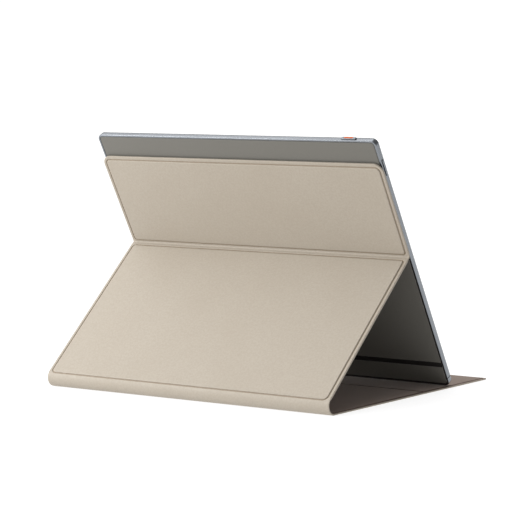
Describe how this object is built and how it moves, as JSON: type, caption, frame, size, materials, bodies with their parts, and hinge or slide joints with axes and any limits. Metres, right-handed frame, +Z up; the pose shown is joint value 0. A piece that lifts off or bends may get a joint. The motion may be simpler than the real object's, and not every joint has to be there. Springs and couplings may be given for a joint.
{
  "type": "e-reader with folding stand cover",
  "caption": "Slim large-screen e-reader held by magnets on a leather folio that folds into a triangular desk stand.",
  "frame": {"origin": "on the table under the middle of the whole object's footprint", "axes": "+X along the fold lines, to the right as the reader's user sees the screen; +Y towards the back of the stand; +Z up"},
  "size_m": [0.2906, 0.247, 0.2166],
  "materials": {
    "folio_leather": "fine grained, matt",
    "microfibre_lining": "short soft nap",
    "stiffener_board": "pressed grey board",
    "anodised_aluminium": "bead blasted and anodised, satin",
    "back_shell": "fine textured paint",
    "grip_rubber": "matt",
    "cover_glass": "etched, anti-glare",
    "clear_sheet": "clear",
    "paper_display": "paper-like",
    "polyimide_film": "amber film",
    "steel": "stamped",
    "cell_foil": "foil pouch",
    "circuit_board": "solder resist",
    "black_plastic": "moulded",
    "nickel": "nickel plated",
    "orange_inlay": "satin"
  },
  "bodies": {
    "front_cover": {"front_cover_leather": "folio_leather", "front_cover_board": "stiffener_board", "front_cover_lining": "microfibre_lining", "front_cover_magnet_1": "nickel", "front_cover_magnet_2": "nickel"},
    "spine": {"spine_leather": "folio_leather", "spine_stiffener": "black_plastic"},
    "lower_panel": {"lower_panel_leather": "folio_leather", "lower_panel_board": "stiffener_board", "lower_panel_lining": "microfibre_lining", "fold_leather": "folio_leather"},
    "upper_panel": {"upper_panel_leather": "folio_leather", "upper_panel_board": "stiffener_board", "upper_panel_lining": "microfibre_lining", "upper_panel_magnet_1": "nickel", "upper_panel_magnet_2": "nickel", "upper_panel_magnet_3": "nickel", "upper_panel_magnet_4": "nickel"},
    "power_button": {"power_button": "anodised_aluminium", "power_inlay": "orange_inlay"},
    "volume_rocker": {"volume_rocker": "anodised_aluminium"},
    "reader": {"side_frame": "anodised_aluminium", "antenna_strip_left": "black_plastic", "antenna_strip_right": "black_plastic", "back_cover": "back_shell", "grip_strip": "grip_rubber", "front_glass": "cover_glass", "touch_film": "clear_sheet", "light_guide": "clear_sheet", "light_strip": "paper_display", "paper_panel": "paper_display", "pen_digitizer": "polyimide_film", "display_ribbon": "polyimide_film", "mid_frame": "steel", "chassis_screw_1": "steel", "chassis_screw_2": "steel", "chassis_screw_3": "steel", "chassis_screw_4": "steel", "battery_left": "cell_foil", "battery_right": "cell_foil", "reader_magnet_left_1": "nickel", "reader_magnet_left_2": "nickel", "reader_magnet_right_1": "nickel", "reader_magnet_right_2": "nickel", "main_board": "circuit_board", "processor_shield": "steel", "speaker_upper": "black_plastic", "speaker_lower": "black_plastic", "usb_port": "steel", "power_switch": "black_plastic", "volume_switch_up": "black_plastic", "volume_switch_down": "black_plastic"}
  },
  "joints": [
    {"name": "cover_hinge", "type": "hinge", "parent": "front_cover", "child": "spine", "pos_m": [0, 0.12171, 0.00178], "axis": [-1, 0, 0], "range_deg": [0, 90], "deforming": ["spine_leather"]},
    {"name": "stand_fold", "type": "hinge", "parent": "spine", "child": "lower_panel", "pos_m": [0, 0.12299, 0.01179], "axis": [-1, 0, 0], "range_deg": [0, 48]},
    {"name": "back_fold", "type": "hinge", "parent": "lower_panel", "child": "upper_panel", "pos_m": [0, 0.00475, 0.11701], "axis": [1, 0, 0], "range_deg": [0, 77], "deforming": ["fold_leather"]},
    {"name": "reader_pull_off", "type": "slide", "parent": "upper_panel", "child": "reader", "axis": [0, -0.8739, 0.486], "range_m": [0, 0.04]},
    {"name": "power_press", "type": "slide", "parent": "reader", "child": "power_button", "axis": [0, -0.486, -0.8739], "range_m": [0, 0.0004], "stiffness_N_per_m": 400, "springref_m": -0.001},
    {"name": "volume_tilt", "type": "hinge", "parent": "reader", "child": "volume_rocker", "pos_m": [-0.14095, 0.04003, 0.19198], "axis": [0, -0.8739, 0.486], "range_deg": [-2.5, 2.5], "stiffness_Nm_per_rad": 0.3}
  ],
  "couplings": [
    {"joint": "back_fold", "follows": "stand_fold", "ratio": 1.6}
  ]
}
